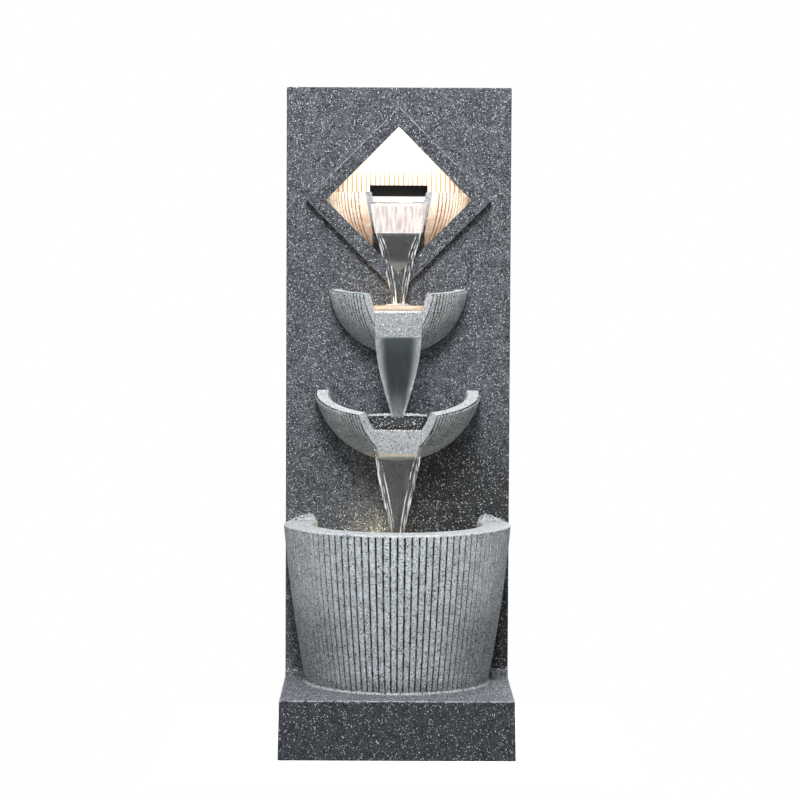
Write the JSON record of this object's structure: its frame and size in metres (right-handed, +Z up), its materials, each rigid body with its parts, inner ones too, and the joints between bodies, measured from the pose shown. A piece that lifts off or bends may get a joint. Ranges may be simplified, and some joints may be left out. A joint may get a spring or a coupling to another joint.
{
  "type": "rockery fountain",
  "caption": "Free-standing granite-look rockery fountain: a slab tower on a plinth with a lit diamond niche, ribbed spill bowls and a ribbed pot that hides the pump.",
  "frame": {"origin": "centre of the footprint, on the floor", "axes": "+Z up, -Y towards the viewer (the pot's side), +X to the viewer's right"},
  "size_m": [0.3334, 0.3066, 0.952],
  "materials": {
    "granite_dark": "dark speckled cast granite, matt",
    "niche_stone": "pale cast stone, matt",
    "granite_mid": "grey speckled cast granite, ribbed, matt",
    "granite_light": "pale speckled cast granite, wet",
    "grout": "pale speckled grout, rough",
    "cover_plastic": "textured dark grey",
    "black_plastic": "moulded black",
    "rubber": "black",
    "hose_pvc": "smoke-grey soft PVC",
    "lead_jacket": "black cable jacket",
    "steel": "stainless",
    "magnet": "dull plated",
    "lens": "warm clear",
    "diffuser": "opal, lit from behind",
    "light_metal": "anodised channel",
    "brass": "plain"
  },
  "bodies": {
    "fountain": {"bowl_bolts": "steel", "bowl_washers": "steel", "cable_splitter": "black_plastic", "cord_gland": "black_plastic", "cord_gland_nut": "black_plastic", "cover_screws": "steel", "diamond_frame": "granite_dark", "door_hinge_pins": "steel", "door_magnets": "magnet", "grout_beads": "grout", "hose_clamps": "steel", "hose_clips": "black_plastic", "hose_grommet": "rubber", "lamp_gaskets": "rubber", "lamp_nuts": "brass", "lead_grommet": "rubber", "lower_bowl": "granite_mid", "lower_bowl_lip": "granite_light", "lower_bowl_seal": "rubber", "niche_bowl": "granite_mid", "niche_light_channel": "light_metal", "niche_light_diffuser": "diffuser", "niche_light_lead": "lead_jacket", "niche_lip": "granite_light", "niche_tray": "niche_stone", "outlet_box": "black_plastic", "plinth": "granite_dark", "pot": "granite_mid", "pot_lamp_housing": "black_plastic", "pot_lamp_lead": "lead_jacket", "pot_lamp_lens": "lens", "pot_seal": "rubber", "pump_body": "black_plastic", "pump_lead": "lead_jacket", "pump_shaft": "steel", "pump_suction_cups": "rubber", "pump_volute": "black_plastic", "rear_cover": "cover_plastic", "riser_hose": "hose_pvc", "small_screws": "steel", "tower_bolts": "steel", "tower_shell": "granite_dark", "tower_washers": "steel", "upper_bowl": "granite_mid", "upper_bowl_lamp_housing": "black_plastic", "upper_bowl_lamp_lead": "lead_jacket", "upper_bowl_lamp_lens": "lens", "upper_bowl_lip": "granite_light", "upper_bowl_seal": "rubber"},
    "door": {"access_door": "cover_plastic", "door_knob": "cover_plastic", "door_strike_plates": "steel"},
    "impeller": {"pump_impeller": "black_plastic", "pump_rotor_magnet": "magnet"},
    "strainer": {"pump_strainer": "black_plastic"},
    "dial": {"pump_flow_dial": "black_plastic"}
  },
  "joints": [
    {"name": "door_swing", "type": "hinge", "parent": "fountain", "child": "door", "pos_m": [-0.0859, 0.14495, 0.404], "axis": [0, 0, 1], "range_deg": [0, 110]},
    {"name": "impeller_spin", "type": "hinge", "parent": "fountain", "child": "impeller", "pos_m": [0, 0.02935, 0.123], "axis": [1, 0, 0], "continuous": true},
    {"name": "strainer_slide", "type": "slide", "parent": "fountain", "child": "strainer", "axis": [1, 0, 0], "range_m": [0, 0.04]},
    {"name": "dial_turn", "type": "hinge", "parent": "strainer", "child": "dial", "pos_m": [0.0363, 0.02935, 0.123], "axis": [1, 0, 0], "range_deg": [0, 90]}
  ]
}
